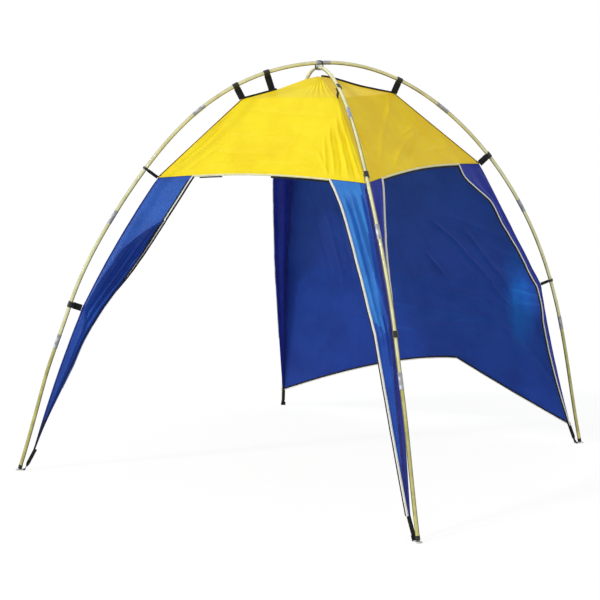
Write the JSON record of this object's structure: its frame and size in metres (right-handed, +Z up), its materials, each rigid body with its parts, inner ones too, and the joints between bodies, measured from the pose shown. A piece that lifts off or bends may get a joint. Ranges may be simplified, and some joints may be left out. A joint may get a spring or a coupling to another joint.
{
  "type": "folding tent",
  "caption": "Open-sided square sun shelter: cloth roof, corner legs and a back wall hung by hooked straps from crossed bent poles.",
  "frame": {"origin": "centre of the footprint, on the ground", "axes": "+Z up, -Y out of the open front, +Y to the back wall, +X to the right seen from the front"},
  "size_m": [1.7391, 1.625, 1.528],
  "materials": {
    "roof_cloth": "matte",
    "blue_cloth": "matte",
    "fibreglass": "satin",
    "ferrule_steel": "satin",
    "elastic_cord": "matte",
    "strap_webbing": "matte",
    "foot_webbing": "matte",
    "rubber_loop": "matte"
  },
  "bodies": {
    "shelter": {"roof_front": "roof_cloth", "roof_right": "roof_cloth", "roof_back": "roof_cloth", "roof_left": "roof_cloth", "leg_front_left": "blue_cloth", "leg_front_right": "blue_cloth", "flap_back_right": "blue_cloth", "flap_back_left": "blue_cloth", "wall_back": "blue_cloth", "pole_a_section_2": "fibreglass", "pole_a_section_3": "fibreglass", "pole_a_section_4": "fibreglass", "pole_a_section_5": "fibreglass", "pole_a_section_6": "fibreglass", "pole_a_section_7": "fibreglass", "pole_a_ferrule_1": "ferrule_steel", "pole_a_ferrule_2": "ferrule_steel", "pole_a_ferrule_3": "ferrule_steel", "pole_a_ferrule_4": "ferrule_steel", "pole_a_ferrule_5": "ferrule_steel", "pole_a_ferrule_6": "ferrule_steel", "pole_a_ferrule_7": "ferrule_steel", "pole_a_shock_cord": "elastic_cord", "pole_b_section_2": "fibreglass", "pole_b_section_3": "fibreglass", "pole_b_section_4": "fibreglass", "pole_b_section_5": "fibreglass", "pole_b_section_6": "fibreglass", "pole_b_section_7": "fibreglass", "pole_b_ferrule_1": "ferrule_steel", "pole_b_ferrule_2": "ferrule_steel", "pole_b_ferrule_3": "ferrule_steel", "pole_b_ferrule_4": "ferrule_steel", "pole_b_ferrule_5": "ferrule_steel", "pole_b_ferrule_6": "ferrule_steel", "pole_b_ferrule_7": "ferrule_steel", "pole_b_shock_cord": "elastic_cord", "crossing_loop": "rubber_loop"},
    "pole_a_section_1": {"pole_a_section_1": "fibreglass"},
    "pole_a_section_8": {"pole_a_section_8": "fibreglass"},
    "pole_b_section_1": {"pole_b_section_1": "fibreglass"},
    "pole_b_section_8": {"pole_b_section_8": "fibreglass"},
    "foot_tab_front_left": {"foot_tab_front_left": "foot_webbing"},
    "foot_tab_front_right": {"foot_tab_front_right": "foot_webbing"},
    "foot_tab_back_right": {"foot_tab_back_right": "foot_webbing"},
    "foot_tab_back_left": {"foot_tab_back_left": "foot_webbing"},
    "strap_hip_front_left": {"strap_hip_front_left": "strap_webbing"},
    "strap_eave_front_left": {"strap_eave_front_left": "strap_webbing"},
    "strap_knee_front_left": {"strap_knee_front_left": "strap_webbing"},
    "strap_hip_front_right": {"strap_hip_front_right": "strap_webbing"},
    "strap_eave_front_right": {"strap_eave_front_right": "strap_webbing"},
    "strap_knee_front_right": {"strap_knee_front_right": "strap_webbing"},
    "strap_hip_back_right": {"strap_hip_back_right": "strap_webbing"},
    "strap_eave_back_right": {"strap_eave_back_right": "strap_webbing"},
    "strap_knee_back_right": {"strap_knee_back_right": "strap_webbing"},
    "strap_hip_back_left": {"strap_hip_back_left": "strap_webbing"},
    "strap_eave_back_left": {"strap_eave_back_left": "strap_webbing"},
    "strap_knee_back_left": {"strap_knee_back_left": "strap_webbing"},
    "strap_cap": {"strap_cap": "strap_webbing"}
  },
  "joints": [
    {"name": "pole_a_section_1_pull", "type": "slide", "parent": "shelter", "child": "pole_a_section_1", "axis": [-0.2716, -0.2167, -0.9377], "range_m": [0, 0.03], "stiffness_N_per_m": 150, "springref_m": -0.06},
    {"name": "pole_a_section_8_pull", "type": "slide", "parent": "shelter", "child": "pole_a_section_8", "axis": [0.1453, 0.1826, -0.9724], "range_m": [0, 0.03], "stiffness_N_per_m": 150, "springref_m": -0.06},
    {"name": "pole_b_section_1_pull", "type": "slide", "parent": "shelter", "child": "pole_b_section_1", "axis": [0.2744, -0.2189, -0.9364], "range_m": [0, 0.03], "stiffness_N_per_m": 150, "springref_m": -0.06},
    {"name": "pole_b_section_8_pull", "type": "slide", "parent": "shelter", "child": "pole_b_section_8", "axis": [-0.1474, 0.1852, -0.9716], "range_m": [0, 0.03], "stiffness_N_per_m": 150, "springref_m": -0.06},
    {"name": "foot_tab_front_left_off", "type": "slide", "parent": "pole_a_section_1", "child": "foot_tab_front_left", "axis": [-0.2389, -0.1841, -0.9534], "range_m": [0, 0.01]},
    {"name": "foot_tab_front_right_off", "type": "slide", "parent": "pole_b_section_1", "child": "foot_tab_front_right", "axis": [0.2414, -0.1859, -0.9525], "range_m": [0, 0.01]},
    {"name": "foot_tab_back_right_off", "type": "slide", "parent": "pole_a_section_8", "child": "foot_tab_back_right", "axis": [0.1323, 0.1694, -0.9766], "range_m": [0, 0.01]},
    {"name": "foot_tab_back_left_off", "type": "slide", "parent": "pole_b_section_8", "child": "foot_tab_back_left", "axis": [-0.1337, 0.1712, -0.9761], "range_m": [0, 0.01]},
    {"name": "strap_hip_front_left_swing", "type": "hinge", "parent": "shelter", "child": "strap_hip_front_left", "pos_m": [-0.20757, -0.24524, 1.38553], "axis": [0.6454, 0.6093, 0.4606], "range_deg": [0, 75]},
    {"name": "strap_eave_front_left_swing", "type": "hinge", "parent": "shelter", "child": "strap_eave_front_left", "pos_m": [-0.44244, -0.45959, 1.09502], "axis": [0.4675, 0.408, 0.7842], "range_deg": [0, 75]},
    {"name": "strap_knee_front_left_swing", "type": "hinge", "parent": "shelter", "child": "strap_knee_front_left", "pos_m": [-0.66173, -0.6451, 0.61138], "axis": [0.2707, 0.219, 0.9374], "range_deg": [0, 75]},
    {"name": "strap_hip_front_right_swing", "type": "hinge", "parent": "shelter", "child": "strap_hip_front_right", "pos_m": [0.20757, -0.24523, 1.38553], "axis": [-0.6477, 0.6118, 0.454], "range_deg": [0, 75]},
    {"name": "strap_eave_front_right_swing", "type": "hinge", "parent": "shelter", "child": "strap_eave_front_right", "pos_m": [0.45136, -0.45064, 1.09499], "axis": [-0.4717, 0.4118, 0.7797], "range_deg": [0, 75]},
    {"name": "strap_knee_front_right_swing", "type": "hinge", "parent": "shelter", "child": "strap_knee_front_right", "pos_m": [0.66788, -0.63894, 0.61137], "axis": [-0.2743, 0.2219, 0.9357], "range_deg": [0, 75]},
    {"name": "strap_hip_back_right_swing", "type": "hinge", "parent": "shelter", "child": "strap_hip_back_right", "pos_m": [0.20132, 0.17109, 1.40797], "axis": [0.6064, 0.6635, -0.4383], "range_deg": [0, 75]},
    {"name": "strap_eave_back_right_swing", "type": "hinge", "parent": "shelter", "child": "strap_eave_back_right", "pos_m": [0.43612, 0.43509, 1.13891], "axis": [0.4279, 0.5018, -0.7517], "range_deg": [0, 75]},
    {"name": "strap_knee_back_right_swing", "type": "hinge", "parent": "shelter", "child": "strap_knee_back_right", "pos_m": [0.61115, 0.64495, 0.65832], "axis": [0.1932, 0.2405, -0.9512], "range_deg": [0, 75]},
    {"name": "strap_hip_back_left_swing", "type": "hinge", "parent": "shelter", "child": "strap_hip_back_left", "pos_m": [-0.20128, 0.17105, 1.40799], "axis": [-0.6184, 0.6734, -0.4051], "range_deg": [0, 75]},
    {"name": "strap_eave_back_left_swing", "type": "hinge", "parent": "shelter", "child": "strap_eave_back_left", "pos_m": [-0.43611, 0.43508, 1.13892], "axis": [-0.432, 0.5064, -0.7463], "range_deg": [0, 75]},
    {"name": "strap_knee_back_left_swing", "type": "hinge", "parent": "shelter", "child": "strap_knee_back_left", "pos_m": [-0.61114, 0.64495, 0.65833], "axis": [-0.1961, 0.244, -0.9497], "range_deg": [0, 75]},
    {"name": "strap_cap_swing", "type": "hinge", "parent": "shelter", "child": "strap_cap", "pos_m": [-0.12807, -0.16698, 1.41834], "axis": [0.6737, 0.6492, 0.3531], "range_deg": [0, 75]}
  ]
}
